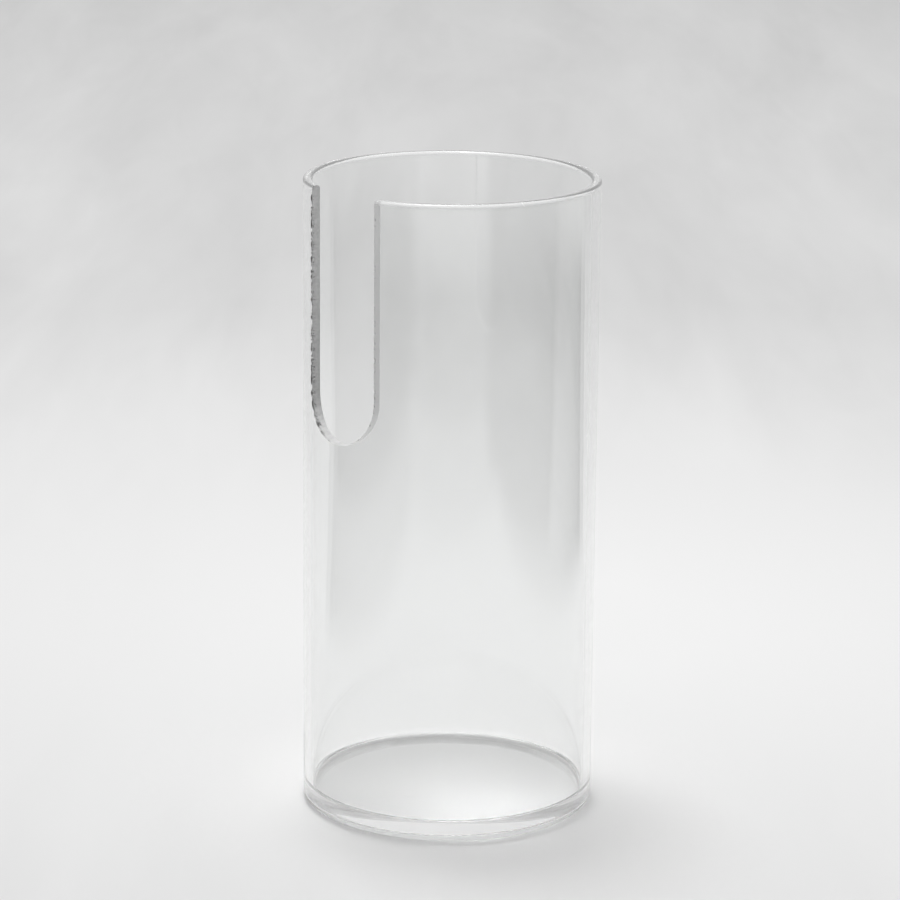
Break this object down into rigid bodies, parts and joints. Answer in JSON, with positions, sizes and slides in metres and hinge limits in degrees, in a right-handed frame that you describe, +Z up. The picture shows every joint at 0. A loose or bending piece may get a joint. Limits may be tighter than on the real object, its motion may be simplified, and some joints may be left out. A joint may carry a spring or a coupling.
{
  "type": "guitar slide",
  "caption": "Clear glass finger slide for guitar: a thin tube with one closed, rounded end and a tall round-bottomed knuckle slot cut down from the open rim.",
  "frame": {"origin": "centre of the flat underside that the slide stands on", "axes": "+Z up the tube towards the open rim, -Y towards the slot, +X to the right when looking at the slot"},
  "size_m": [0.025, 0.025, 0.0546],
  "materials": {
    "clear_glass": "fire-polished clear glass, with the slot's edges left finely ground",
    "end_glass": "fire-polished clear glass, thicker and a little deeper in tone than the wall"
  },
  "bodies": {
    "root": {"slotted_tube": "clear_glass", "closed_end": "end_glass"}
  },
  "joints": []
}
